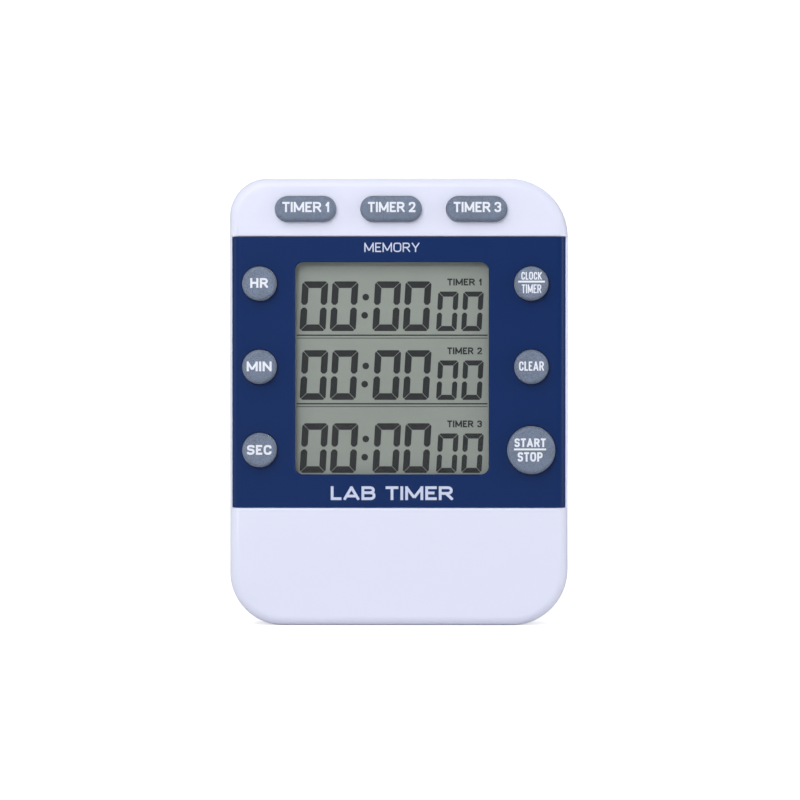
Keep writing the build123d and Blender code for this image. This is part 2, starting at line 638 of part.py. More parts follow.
# ---------------------------------------------------------------- stand
def stand():
    """A flat leg with a hinge barrel along its top and grip grooves at its foot."""
    back = STAND_FACE_DEPTH + STAND_THICKNESS
    length = STAND_AXIS_Z - STAND_FOOT_Z
    leg = block(0, STAND_FOOT_Z + length / 2, STAND_WIDTH, length, STAND_FACE_DEPTH, back)
    foot = leg.edges().filter_by(Axis.Y).sort_by(Axis.Z)[:2]
    leg = fillet(foot, STAND_CORNER_R)
    leg += cross_rod(-STAND_WIDTH / 2, STAND_WIDTH / 2, STAND_AXIS_Z, STAND_AXIS_DEPTH, STAND_BARREL_R)
    for number in range(STAND_GRIPS):
        z = STAND_FOOT_Z + (number + 2) * STAND_GRIP_PITCH
        leg -= cross_rod(-STAND_WIDTH / 4, STAND_WIDTH / 4, z, back, STAND_GRIP_R)
    return leg + stand_pins(STAND_PIN_R, STAND_PIN_LENGTH)


# ---------------------------------------------------------------- the parts
def all_parts():
    parts = {
        "front_cover": front_cover(),
        "rear_cover": rear_cover(),
        "front_panel": front_panel(),
        "case_screws": case_screws(),
        "keypad_mat": keypad_mat(),
        "display_window": display_window(),
        "lcd_polariser": lcd_polariser(),
        "lcd_front_glass": lcd_front_glass(),
        "lcd_rear_glass": lcd_rear_glass(),
        "lcd_reflector": lcd_reflector(),
        "lcd_holder": lcd_holder(),
        "zebra_strip_top": zebra_strip(1),
        "zebra_strip_bottom": zebra_strip(-1),
        "main_board": main_board(),
        "key_contact_pads": key_contact_pads(),
        "board_screws": board_screws(),
        "chip_coating": chip_coating(),
        "crystal": crystal(),
        "capacitor": capacitor(),
        "surface_mount_parts": surface_mount_parts(),
        "buzzer_plate": buzzer_plate(),
        "buzzer_ceramic": buzzer_ceramic(),
        "buzzer_wire_red": buzzer_wire(3, 2),
        "buzzer_wire_black": buzzer_wire(-7.8, 1),
        "magnets": magnets(),
        "battery_cell": battery_cell(),
        "battery_sleeve": battery_sleeve(),
        "positive_contact": battery_contact(1),
        "negative_contact": battery_contact(-1),
        "battery_spring": battery_spring(),
        "battery_wire_red": battery_wire(1),
        "battery_wire_black": battery_wire(-1),
        "battery_door": battery_door(),
        "stand": stand(),
    }
    for name, key in KEYS.items():
        parts[name] = key_button(key)
        parts[name + "_contact"] = key_contact(key)
    return parts


def save(name, shape):
    """Write one node. A list of separate solids goes out as one group."""
    if isinstance(shape, list):
        shape = Compound(children=shape)
    export_step(shape, f"parts/{name}.step")


os.makedirs("parts", exist_ok=True)
for part_name, part in all_parts().items():
    save(part_name, part)
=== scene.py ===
"""Looks of the three-line lab timer: materials for the CAD parts, the printed legends, the digits on the
display, a pale studio and the camera. Everything is in metres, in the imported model's frame: +Z up, the
face towards -Y."""

import json
import math

import bmesh
import bpy
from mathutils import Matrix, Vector
from mathutils.bvhtree import BVHTree
from mathutils.geometry import delaunay_2d_cdt


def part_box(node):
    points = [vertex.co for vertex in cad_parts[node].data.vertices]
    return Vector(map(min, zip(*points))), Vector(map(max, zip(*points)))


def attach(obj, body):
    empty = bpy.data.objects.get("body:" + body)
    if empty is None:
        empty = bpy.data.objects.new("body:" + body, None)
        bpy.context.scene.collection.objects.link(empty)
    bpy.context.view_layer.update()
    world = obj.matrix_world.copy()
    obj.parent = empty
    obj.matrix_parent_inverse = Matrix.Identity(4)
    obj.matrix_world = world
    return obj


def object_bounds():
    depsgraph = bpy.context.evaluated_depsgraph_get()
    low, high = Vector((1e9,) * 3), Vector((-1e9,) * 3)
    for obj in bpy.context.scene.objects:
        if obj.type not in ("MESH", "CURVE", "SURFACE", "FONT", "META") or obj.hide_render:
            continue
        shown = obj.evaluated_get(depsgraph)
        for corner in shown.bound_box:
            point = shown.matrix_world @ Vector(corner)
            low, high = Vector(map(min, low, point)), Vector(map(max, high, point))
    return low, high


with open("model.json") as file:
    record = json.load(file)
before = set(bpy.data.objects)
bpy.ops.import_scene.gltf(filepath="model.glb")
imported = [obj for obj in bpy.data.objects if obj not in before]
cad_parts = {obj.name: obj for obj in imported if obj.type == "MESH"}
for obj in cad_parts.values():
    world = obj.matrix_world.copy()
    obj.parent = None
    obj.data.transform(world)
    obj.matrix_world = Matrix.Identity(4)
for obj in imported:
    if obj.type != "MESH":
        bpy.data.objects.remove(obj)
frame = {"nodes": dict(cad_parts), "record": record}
cad_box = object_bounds()

MM = 0.001
NODES = frame["nodes"]
CASE = "case"
MERGE = 1e-4                        # points nearer than this, in mm, become one

# ---------------------------------------------------------------- rounded edges of the mouldings
MOULDED_NODES = ("front_cover", "rear_cover", "front_panel", "stand", "battery_door")
EDGE_ROUND = 0.12 * MM
EDGE_SEGMENTS = 2
SHARP_ANGLE = 35                    # degrees; a blunter edge isn't rounded

# ---------------------------------------------------------------- sizes of the prints, in metres
INK = 0.015 * MM                    # how far a printed legend stands out
BOLD = 0.22                         # stroke of a legend, as a share of its height
LIGHT = 0.13
LETTER_GAP = 0.15                   # gap between letters, as a share of their height
TIGHT_GAP = 0.16                    # in narrow lettering, as a share of a letter's room
TIGHT_STROKE = 0.3
WORD_GAP = 0.3                      # width of a space, as a share of the height
KEY_WORD_GAP = 0.04
LETTER_ROUND = 0.3                  # rounding of a stroke's corners, as a share of its height
CORNER_STEPS = 6
DOT_POINTS = 28
LONGEST_MITRE = 0.3                 # the least cosine that a stroke's joint is mitred for
HEADS_FOR_EDGE = 0.3                # least share of a stroke's direction that points at an edge it runs to
AT_EDGE = 0.01                      # how near to that edge it has to end, as a share of half its width
BEND_CUTS = 2                       # how finely a legend is cut before it is bent over its key
BAR_HEIGHT = 0.42 * MM
MEMORY_LABEL = {"width": 12.4 * MM, "height": 2.1 * MM, "stroke": LIGHT}
NAME_LABEL = {"width": 27.5 * MM, "height": 3.1 * MM, "stroke": 0.2}

# Legend on each key: its lines as (text, width, height, offset upwards), the bar between them as (width,
# offset upwards) where there is one, and the offset sideways of the whole legend.
KEY_LEGENDS = {
    "timer_1_button": {"lines": [("TIMER 1", 10.3 * MM, 2.3 * MM, 0.38 * MM)]},
    "timer_2_button": {"lines": [("TIMER 2", 10.3 * MM, 2.3 * MM, 0.38 * MM)]},
    "timer_3_button": {"lines": [("TIMER 3", 10.3 * MM, 2.3 * MM, 0.38 * MM)]},
    "hour_button": {"lines": [("HR", 4.0 * MM, 2.2 * MM, 0.13 * MM)]},
    "minute_button": {"lines": [("MIN", 5.6 * MM, 2.2 * MM, 0.13 * MM)]},
    "second_button": {"lines": [("SEC", 5.5 * MM, 2.2 * MM, 0.1 * MM)]},
    "clear_button": {"lines": [("CLEAR", 5.6 * MM, 2.1 * MM, 0.2 * MM)]},
    "clock_timer_button": {
        "lines": [("CLOCK", 4.6 * MM, 1.75 * MM, 1.72 * MM), ("TIMER", 4.4 * MM, 1.95 * MM, -1.18 * MM)],
        "bar": (6.0 * MM, 0.42 * MM),
    },
    "start_stop_button": {
        "lines": [("START", 7.0 * MM, 1.95 * MM, 1.72 * MM), ("STOP", 5.6 * MM, 2.1 * MM, -1.46 * MM)],
        "bar": (7.2 * MM, 0.22 * MM),
        "aside": -0.3 * MM,
    },
}

# Each character: its width as a share of the height, and its strokes through the points of a unit square.
# A stroke's corners come out rounded, and its ends are cut square with the letter's box.
GLYPHS = {
    " ": (0, []),
    "1": (0.36, [[(0.75, 0), (0.75, 1)], [(0.75, 1), (0, 0.72)]]),
    "2": (0.6, [[(0, 0.7), (0, 1), (1, 1), (1, 0.55), (0, 0.02)], [(0, 0), (1, 0)]]),
    "3": (0.6, [[(0, 0.74), (0, 1), (1, 1), (1, 0.53), (0.4, 0.53)],
                [(0.4, 0.53), (1, 0.53), (1, 0), (0, 0), (0, 0.26)]]),
    "A": (0.78, [[(0, 0), (0.5, 1)], [(0.5, 1), (1, 0)], [(0.2, 0.24), (0.8, 0.24)]]),
    "B": (0.68, [[(0, 0), (0, 1)], [(0, 1), (0.94, 1), (0.94, 0.54), (0, 0.54)],
                 [(0, 0.54), (1, 0.54), (1, 0), (0, 0)]]),
    "C": (0.68, [[(1, 0.68), (1, 1), (0, 1), (0, 0), (1, 0), (1, 0.32)]]),
    "E": (0.56, [[(0, 0), (0, 1)], [(0, 0), (1, 0)], [(0, 0.52), (0.9, 0.52)], [(0, 1), (1, 1)]]),
    "H": (0.7, [[(0, 0), (0, 1)], [(1, 0), (1, 1)], [(0, 0.52), (1, 0.52)]]),
    "I": (0.0, [[(0.5, 0), (0.5, 1)]]),
    "K": (0.72, [[(0, 0), (0, 1)], [(0, 0.34), (1, 1)], [(0.3, 0.55), (1, 0)]]),
    "L": (0.52, [[(0, 0), (0, 1)], [(0, 0), (1, 0)]]),
    "M": (0.88, [[(0, 0), (0, 1)], [(1, 0), (1, 1)], [(0, 1), (0.5, 0.1)], [(0.5, 0.1), (1, 1)]]),
    "N": (0.72, [[(0, 0), (0, 1)], [(1, 0), (1, 1)], [(0, 1), (1, 0)]]),
    "O": (0.74, [[(0.5, 1), (1, 1), (1, 0), (0, 0), (0, 1), (0.5, 1)]]),
    "P": (0.66, [[(0, 0), (0, 1)], [(0, 1), (1, 1), (1, 0.44), (0, 0.44)]]),
    "R": (0.7, [[(0, 0), (0, 1)], [(0, 1), (0.96, 1), (0.96, 0.48), (0, 0.48)], [(0.5, 0.48), (1, 0)]]),
    "S": (0.66, [[(1, 0.78), (1, 1), (0, 1), (0, 0.52), (1, 0.52), (1, 0), (0, 0), (0, 0.24)]]),
    "T": (0.62, [[(0, 1), (1, 1)], [(0.5, 0), (0.5, 1)]]),
    "Y": (0.74, [[(0, 1), (0.5, 0.42)], [(1, 1), (0.5, 0.42)], [(0.5, 0), (0.5, 0.42)]]),
}

# ---------------------------------------------------------------- display, from the middle of its window
ROWS = (13.98 * MM, -1.52 * MM, -17.98 * MM)         # middle of each row of digits
LARGE = {"width": 5.87 * MM, "height": 11.2 * MM, "stroke": 1.5 * MM}
SMALL = {"width": 4.6 * MM, "height": 8.9 * MM, "stroke": 1.15 * MM}
LARGE_X = (-17.6 * MM, -10.8 * MM, -1.2 * MM, 5.65 * MM)
SMALL_X = (12.45 * MM, 18.1 * MM)
COLON_X = -6.05 * MM
COLON_Z = 2.05 * MM
COLON_R = 0.75 * MM
DIGIT_SLANT = math.tan(math.radians(3.4))
SEGMENT_GAP = 0.13 * MM
JOINT_GAP = 0.62 * MM
CORNER_CUT = 0.35                   # how far a segment's ends are cut back, as a share of its stroke
BLUNT_TIP = (0.3, 0.7)              # where the flat tip of an upright segment starts and ends, across it
ROW_LABEL = {"x": 16.35 * MM, "z": 5.45 * MM, "width": 7.8 * MM, "height": 1.55 * MM, "stroke": 0.24}
RULES = (7.45 * MM, -8.0 * MM)                       # the printed lines between the rows
RULE_WIDTH = 43.0 * MM
RULE_HEIGHT = 0.3 * MM
# how far below each printed line its painted shadow is drawn
RULE_SHADOW_DROP = 0.65 * MM


# ---------------------------------------------------------------- node helpers
def srgb(red, green, blue):
    """A linear colour from the 0 to 255 values that a screen shows."""
    linear = [((c / 255 + 0.055) / 1.055) ** 2.4 if c > 10 else c / 255 / 12.92 for c in (red, green, blue)]
    return (*linear, 1)


def scaled(colour, factor):
    """The colour made lighter or darker."""
    return (*[min(1.0, c * factor) for c in colour[:3]], 1)


class Shader:
    """A material with one Principled shader, and short calls for the nodes that feed it."""

    def __init__(self, name, roughness=0.5, metallic=0.0, **plain):
        self.material = bpy.data.materials.new(name)
        self.material.use_nodes = True
        self.tree = self.material.node_tree
        self.principled = self.tree.nodes["Principled BSDF"]
        self.set(Roughness=roughness, Metallic=metallic, **plain)
        self.place = self.add("ShaderNodeTexCoord").outputs["Object"]

    def set(self, **values):
        for name, value in values.items():
            self.principled.inputs[name.replace("_", " ")].default_value = value

    def add(self, kind, **settings):
        node = self.tree.nodes.new(kind)
        for name, value in settings.items():
            setattr(node, name, value)
        return node

    def link(self, output, target):
        self.tree.links.new(output, target)

    def noise(self, scale, detail=3.0, stretch=None):
        """Noise over the surface. scale is features per metre. stretch squeezes it along an axis."""
        texture = self.add("ShaderNodeTexNoise")
        texture.inputs["Scale"].default_value = scale
        texture.inputs["Detail"].default_value = detail
        place = self.place
        if stretch:
            mapping = self.add("ShaderNodeMapping")
            mapping.inputs["Scale"].default_value = stretch
            self.link(place, mapping.inputs["Vector"])
            place = mapping.outputs["Vector"]
        self.link(place, texture.inputs["Vector"])
        return texture.outputs["Fac"]

    def range(self, value, low, high, start=0.3, end=0.7):
        """A value from start to end, spread over low to high."""
        node = self.add("ShaderNodeMapRange")
        for name, number in (("From Min", start), ("From Max", end), ("To Min", low), ("To Max", high)):
            node.inputs[name].default_value = number
        self.link(value, node.inputs["Value"])
        return node.outputs["Result"]

    def colours(self, value, stops):
        """A colour ramp through (position, colour) stops."""
        node = self.add("ShaderNodeValToRGB")
        elements = node.color_ramp.elements
        while len(elements) < len(stops):
            elements.new(0.5)
        for element, (position, colour) in zip(elements, stops):
            element.position = position
            element.color = colour
        self.link(value, node.inputs["Fac"])
        return node.outputs["Color"]

    def bump(self, height, depth, strength=1.0, below=None):
        """Relief of that depth in metres, on top of the relief below."""
        node = self.add("ShaderNodeBump")
        node.inputs["Distance"].default_value = depth
        node.inputs["Strength"].default_value = strength
        self.link(height, node.inputs["Height"])
        if below:
            self.link(below, node.inputs["Normal"])
        return node.outputs["Normal"]

    def feed(self, **sockets):
        for name, output in sockets.items():
            self.link(output, self.principled.inputs[name.replace("_", " ")])
        return self


# ---------------------------------------------------------------- materials
MIRROR_LEAST = 0.014                # how much a clear sheet mirrors when seen straight on
MIRROR_STEEPNESS = 5                # how suddenly that grows towards a slant


def moulded_plastic(name, colour, roughness, mottle=0.02, grain=1800, grain_depth=0.004 * MM, wear=0.12,
                    **plain):
    """Injection-moulded plastic: faint flow mottling, a fine mould texture and uneven gloss."""
    s = Shader(name, **plain)
    flow = s.noise(45, 4)
    fine = s.noise(grain, 2)
    rubbed = s.noise(160, 5)
    base = s.colours(flow, [(0.3, scaled(colour, 1 - mottle)), (0.7, scaled(colour, 1 + mottle))])
    gloss = s.range(rubbed, roughness * (1 - wear), roughness * (1 + wear))
    return s.feed(Base_Color=base, Roughness=gloss, Normal=s.bump(fine, grain_depth)).material


def speckled_silicone(name, colour, roughness):
    """Matte silicone with the tiny lighter and darker grains of its spray coat."""
    s = Shader(name, Sheen_Weight=0.8, Sheen_Roughness=0.3)
    grains = s.noise(4200, 2)
    cloud = s.noise(300, 3)
    mixed = s.add("ShaderNodeMath", operation="MULTIPLY_ADD")
    mixed.inputs[1].default_value = 0.25
    s.link(cloud, mixed.inputs[0])
    s.link(grains, mixed.inputs[2])
    stops = [(0.42, scaled(colour, 0.58)), (0.6, colour), (0.8, scaled(colour, 1.45))]
    return s.feed(
        Base_Color=s.colours(mixed.outputs[0], stops),
        Roughness=s.range(cloud, roughness * 0.93, roughness * 1.07),
        Normal=s.bump(grains, 0.012 * MM),
    ).material


def printed_ink(name, colour, roughness=0.45):
    """A pad-printed ink film with a slightly uneven coat."""
    s = Shader(name)
    coat = s.noise(4200, 3)
    base = s.colours(coat, [(0.3, scaled(colour, 0.94)), (0.65, colour)])
    return s.feed(Base_Color=base, Roughness=s.range(coat, roughness * 0.9, roughness * 1.1)).material


def liquid_crystal_back(name, colour):
    """The reflective film behind the liquid crystal: a fine brushed grain and slow bands of shade."""
    s = Shader(name)
    brushed = s.noise(900, 3, stretch=(0.12, 1, 1))
    slow = s.noise(28, 2)
    mixed = s.add("ShaderNodeMath", operation="MULTIPLY_ADD")
    mixed.inputs[1].default_value = 0.35
    s.link(brushed, mixed.inputs[0])
    s.link(slow, mixed.inputs[2])
    base = s.colours(mixed.outputs[0], [(0.5, scaled(colour, 0.96)), (0.85, scaled(colour, 1.04))])
    return s.feed(Base_Color=base, Roughness=s.range(brushed, 0.42, 0.52)).material


def clear_plastic(name, tint):
    """A clear sheet: light passes straight through, and its surface mirrors a little, more at a slant."""
    s = Shader(name, roughness=0.04, metallic=1.0)
    dust = s.noise(700, 4)
    s.feed(Roughness=s.range(dust, 0.02, 0.07))
    clear = s.add("ShaderNodeBsdfTransparent")
    clear.inputs["Color"].default_value = tint
    slant = s.add("ShaderNodeLayerWeight").outputs["Facing"]
    steep = s.add("ShaderNodeMath", operation="POWER")
    steep.inputs[1].default_value = MIRROR_STEEPNESS
    s.link(slant, steep.inputs[0])
    mirror = s.range(steep.outputs[0], MIRROR_LEAST, 1.0, start=0.0, end=1.0)
    mix = s.add("ShaderNodeMixShader")
    s.link(mirror, mix.inputs["Fac"])
    s.link(clear.outputs["BSDF"], mix.inputs[1])
    s.link(s.principled.outputs["BSDF"], mix.inputs[2])
    s.link(mix.outputs["Shader"], s.tree.nodes["Material Output"].inputs["Surface"])
    return s.material


def drawn_metal(name, colour, roughness, stretch=(1, 1, 0.08)):
    """Metal with drawing lines along one axis and a little tarnish."""
    s = Shader(name, metallic=1.0)
    lines = s.noise(2600, 4, stretch=stretch)
    tarnish = s.noise(220, 4)
    base = s.colours(tarnish, [(0.3, scaled(colour, 0.85)), (0.7, colour)])
    gloss = s.range(lines, roughness * 0.75, roughness * 1.3)
    return s.feed(Base_Color=base, Roughness=gloss, Normal=s.bump(lines, 0.002 * MM)).material


def circuit_board(name):
    """Green solder mask over copper tracks."""
    s = Shader(name, roughness=0.35)
    tracks = s.add("ShaderNodeTexBrick", offset=0.5, squash=1.0)
    tracks.inputs["Scale"].default_value = 260
    tracks.inputs["Mortar Size"].default_value = 0.03
    s.link(s.place, tracks.inputs["Vector"])
    weave = s.noise(1500, 2)
    base = s.colours(tracks.outputs["Fac"], [(0.0, srgb(16, 84, 46)), (1.0, srgb(58, 120, 60))])
    relief = s.bump(weave, 0.003 * MM, below=s.bump(tracks.outputs["Fac"], 0.02 * MM))
    return s.feed(Base_Color=base, Roughness=s.range(weave, 0.28, 0.42), Normal=relief).material


def make_materials():
    """One material for each slot of the record, by slot name."""
    white = srgb(230, 233, 253)
    return {
        "case_white": moulded_plastic("case_white", white, 0.42, mottle=0.003, grain_depth=0.001 * MM,
                                      wear=0.03),
        "stand_grey": moulded_plastic("stand_white", white, 0.42, mottle=0.008, grain_depth=0.006 * MM),
        "panel_blue": moulded_plastic("panel_blue", srgb(4, 41, 96), 0.29, mottle=0.015,
                                      grain_depth=0.002 * MM, wear=0.04, Specular_IOR_Level=0.25),
        "key_silicone": speckled_silicone("key_silicone", srgb(107, 119, 141), 0.62),
        "carbon": moulded_plastic("carbon_pill", srgb(34, 34, 36), 0.8, mottle=0.1),
        "clear_window": clear_plastic("clear_window", (0.98, 0.985, 0.98, 1)),
        "lcd_film": liquid_crystal_back("lcd_film", srgb(155, 161, 156)),
        "lcd_glass": clear_plastic("lcd_glass", (0.93, 0.96, 0.95, 1)),
        "lcd_back": liquid_crystal_back("lcd_reflector", srgb(150, 156, 150)),
        "holder_white": moulded_plastic("holder_white", srgb(224, 224, 220), 0.5),
        "zebra": moulded_plastic("zebra_elastomer", srgb(150, 78, 84), 0.7, mottle=0.2, grain=9000),
        "board_green": circuit_board("board_green"),
        "pad_gold": drawn_metal("gold_pads", srgb(226, 186, 96), 0.3),
        "epoxy_black": moulded_plastic("epoxy_drop", srgb(28, 28, 30), 0.22, mottle=0.15),
        "can_steel": drawn_metal("bright_can", srgb(200, 200, 202), 0.28, stretch=(0.08, 1, 1)),
        "can_aluminium": drawn_metal("aluminium_can", srgb(214, 214, 218), 0.32),
        "chip_parts": moulded_plastic("chip_parts", srgb(70, 62, 54), 0.4, mottle=0.3, grain=5000),
        "buzzer_brass": drawn_metal("buzzer_brass", srgb(216, 182, 104), 0.3),
        "buzzer_ceramic": moulded_plastic("buzzer_ceramic", srgb(218, 216, 206), 0.45),
        "wire_red": moulded_plastic("red_insulation", srgb(176, 30, 30), 0.4),
        "wire_black": moulded_plastic("black_insulation", srgb(32, 32, 34), 0.4),
        "magnet_plate": drawn_metal("magnet_nickel", srgb(168, 168, 172), 0.34),
        "battery_label": moulded_plastic("battery_film", srgb(46, 52, 66), 0.26, mottle=0.08),
        "contact_nickel": drawn_metal("contact_nickel", srgb(206, 202, 194), 0.26),
        "screw_steel": drawn_metal("screw_zinc", srgb(178, 178, 182), 0.3),
    }


def dress_nodes(materials):
    """Gives each CAD node the material of its slot."""
    slots = {row["node"]: row["material_slot"] for row in frame["record"]["subparts"]}
    for name, node in NODES.items():
        node.data.materials.clear()
        node.data.materials.append(materials[slots[name]])


def soften_edges(node):
    """A fine round on every sharp edge, as a moulding has, which catches the light."""
    weld = node.modifiers.new("weld", "WELD")
    weld.merge_threshold = MERGE * MM
    bevel = node.modifiers.new("bevel", "BEVEL")
    bevel.width = EDGE_ROUND
    bevel.segments = EDGE_SEGMENTS
    bevel.limit_method = "ANGLE"
    bevel.angle_limit = math.radians(SHARP_ANGLE)
    bevel.use_clamp_overlap = True
    node.modifiers.new("normals", "WEIGHTED_NORMAL").keep_sharp = False


# ---------------------------------------------------------------- flat printed shapes
def new_piece(name, mesh, body, material):
    """A Blender-only piece that moves with a body and has one material."""
    piece = bpy.data.objects.new(name, mesh)
    bpy.context.scene.collection.objects.link(piece)
    mesh.materials.clear()
    mesh.materials.append(material)
    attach(piece, body)
    return piece


def within(point, outline):
    """Whether a point lies in an outline that is convex and anticlockwise."""
    return all((b - a).cross(point - a) >= 0 for a, b in zip(outline, outline[1:] + outline[:1]))


def plate_mesh(name, outlines, front, thickness):
    """A thin flat plate that covers every convex outline of (x, z) points. Overlaps merge.
    front is the y of its face."""
    points = [Vector((x / MM, z / MM)) for outline in outlines for x, z in outline]
    loops, first = [], 0
    for outline in outlines:
        loops.append(list(range(first, first + len(outline))))
        first += len(outline)
    corners, _, triangles, _, _, _ = delaunay_2d_cdt(points, [], loops, 0, MERGE)
    shapes = [[points[i] for i in loop] for loop in loops]
    cells = []
    for triangle in triangles:
        middle = sum((corners[i] for i in triangle), Vector((0, 0))) / 3
        if any(within(middle, shape) for shape in shapes):
            cells.append(triangle)

    count = len(corners)
    sides = {(a, b) for cell in cells for a, b in zip(cell, cell[1:] + cell[:1])}
    rim = [(a, b) for a, b in sides if (b, a) not in sides]
    vertices = [(x * MM, y, z * MM) for y in (front, front + thickness) for x, z in corners]
    faces = [tuple(cell) for cell in cells]
    faces += [tuple(count + i for i in reversed(cell)) for cell in cells]
    faces += [(b, a, count + a, count + b) for a, b in sorted(rim)]
    mesh = bpy.data.meshes.new(name)
    mesh.from_pydata(vertices, [], faces)
    mesh.update()
    return mesh


def bar(x, z, width, height):
    """A rectangle's outline, anticlockwise as seen from the front."""
    w, h = width / 2, height / 2
    return [(x - w, z - h), (x + w, z - h), (x + w, z + h), (x - w, z + h)]


def dot(x, z, radius):
    """A round outline, anticlockwise as seen from the front."""
    turns = [2 * math.pi * i / DOT_POINTS for i in range(DOT_POINTS)]
    return [(x + radius * math.cos(t), z + radius * math.sin(t)) for t in turns]


def rounded(points, radius):
    """The line through the points, with its corners rounded."""
    line = [points[0]]
    for before, corner, after in zip(points, points[1:], points[2:]):
        ends = []
        for other in (before, after):
            away = other - corner
            ends.append(corner + away * min(0.5, radius / away.length))
        for i in range(CORNER_STEPS + 1):
            t = i / CORNER_STEPS
            line.append(ends[0] * (1 - t) ** 2 + corner * 2 * t * (1 - t) + ends[1] * t ** 2)
    line.append(points[-1])
    return [p for i, p in enumerate(line) if i == 0 or (p - line[i - 1]).length > MERGE * MM]


def drawn_out(end, neighbour, half, size):
    """A stroke's end, moved on by half its width if it heads for an edge of the letter's box there."""
    away = (end - neighbour).normalized()
    for axis in (0, 1):
        limit = size[axis] - half if away[axis] > 0 else half
        if abs(away[axis]) > HEADS_FOR_EDGE and abs(end[axis] - limit) < AT_EDGE * half:
            return end + away * half
    return end


def ribbon(line, half):
    """Triangles along a line, with mitred joints."""
    steps = [(b - a).normalized() for a, b in zip(line, line[1:])]
    edges = []
    for i, point in enumerate(line):
        before, after = steps[max(i - 1, 0)], steps[min(i, len(steps) - 1)]
        along = (before + after).normalized()
        across = Vector((-along.y, along.x)) * half / max(LONGEST_MITRE, along.dot(after))
        edges.append((point - across, point + across))
    corners = []
    for (a_right, a_left), (b_right, b_left) in zip(edges, edges[1:]):
        corners += [[a_right, b_right, b_left], [a_right, b_left, a_left]]
    return corners


def clipped(outline, axis, limit, side):
    """The part of an outline below a limit (side 1) or above it (side -1) along an axis."""
    kept = []
    for a, b in zip(outline, outline[1:] + outline[:1]):
        a_out, b_out = (a[axis] - limit) * side, (b[axis] - limit) * side
        if a_out <= 0:
            kept.append(a)
        if a_out * b_out < 0:
            kept.append(a + (b - a) * (a_out / (a_out - b_out)))
    return kept


def anticlockwise(outline):
    """The outline, turned round if it runs clockwise."""
    twice_area = sum(a.cross(b) for a, b in zip(outline, outline[1:] + outline[:1]))
    return outline if twice_area > 0 else outline[::-1]


def glyph_outlines(character, x, width, height, stroke):
    """The outlines of one character, with the lower left corner of its box at (x, 0)."""
    half = stroke / 2
    outlines = []
    for points in GLYPHS[character][1]:
        placed = [
            Vector((half + px * (width - stroke), half + pz * (height - stroke))) for px, pz in points
        ]
        line = rounded(placed, LETTER_ROUND * height)
        start = drawn_out(line[0], line[1], half, (width, height))
        finish = drawn_out(line[-1], line[-2], half, (width, height))
        for outline in ribbon([start, *line[1:-1], finish], half):
            for axis, limit, side in ((0, width, 1), (0, 0, -1), (1, height, 1), (1, 0, -1)):
                outline = clipped(outline, axis, limit, side)
            if len(outline) > 2:
                outlines.append([(x + p.x, p.y) for p in anticlockwise(outline)])
    return outlines


def text_outlines(text, centre_x, centre_z, width, height, stroke, word_gap=WORD_GAP):
    """The outlines of a line of text, fitted to a width and height. stroke is a share of the height."""
    share = width / len(text)
    gap = min(LETTER_GAP * height, TIGHT_GAP * share)
    stroke = min(stroke * height, TIGHT_STROKE * share)
    natural = [(GLYPHS[c][0] if c != " " else word_gap) * height for c in text]
    thin = stroke * text.count("I")
    stretch = (width - gap * (len(text) - 1) - thin) / sum(natural)
    x = centre_x - width / 2
    outlines = []
    for character, usual in zip(text, natural):
        wide = max(usual * stretch, stroke)
        for outline in glyph_outlines(character, x, wide, height, stroke):
            outlines.append([(px, pz + centre_z - height / 2) for px, pz in outline])
        x += wide + gap
    return outlines


# ---------------------------------------------------------------- legends
def lay_on(mesh, node, front):
    """Bends a flat plate over a CAD node's surface: it is cut finely, then each point moves back onto it."""
    cutter = bmesh.new()
    cutter.from_mesh(mesh)
    bmesh.ops.subdivide_edges(cutter, edges=cutter.edges, cuts=BEND_CUTS, use_grid_fill=True)
    cutter.to_mesh(mesh)
    cutter.free()
    corners = [v.co for v in node.data.vertices]
    surface = BVHTree.FromPolygons(corners, [p.vertices for p in node.data.polygons])
    for vertex in mesh.vertices:
        start = Vector((vertex.co.x, front - MM, vertex.co.z))
        hit, _, _, _ = surface.ray_cast(start, Vector((0, 1, 0)))
        if hit:
            vertex.co.y += hit.y - front


def key_legends(ink):
    """White print on top of each key, which moves with it."""
    for body, legend in KEY_LEGENDS.items():
        low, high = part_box(body)
        x = (low.x + high.x) / 2 + legend.get("aside", 0)
        z = (low.z + high.z) / 2
        outlines = []
        for text, width, height, up in legend["lines"]:
            outlines += text_outlines(text, x, z + up, width, height, BOLD, KEY_WORD_GAP)
        if "bar" in legend:
            width, up = legend["bar"]
            outlines.append(bar(x, z + up, width, BAR_HEIGHT))
        name = body.replace("_button", "_legend")
        mesh = plate_mesh(name, outlines, low.y - INK, 2 * INK)
        lay_on(mesh, NODES[body], low.y)
        new_piece(name, mesh, body, ink)


def panel_labels(ink):
    """The two labels printed on the blue panel, above and below the display."""
    low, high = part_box("front_panel")
    view_low, view_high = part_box("lcd_polariser")
    x = (view_low.x + view_high.x) / 2
    above = (view_high.z + high.z) / 2
    below = (view_low.z + low.z) / 2
    for name, text, z, size in (("memory_label", "MEMORY", above, MEMORY_LABEL),
                                ("lab_timer_label", "LAB TIMER", below, NAME_LABEL)):
        mesh = plate_mesh(name, text_outlines(text, x, z, **size), low.y - INK, 2 * INK)
        new_piece(name, mesh, CASE, ink)


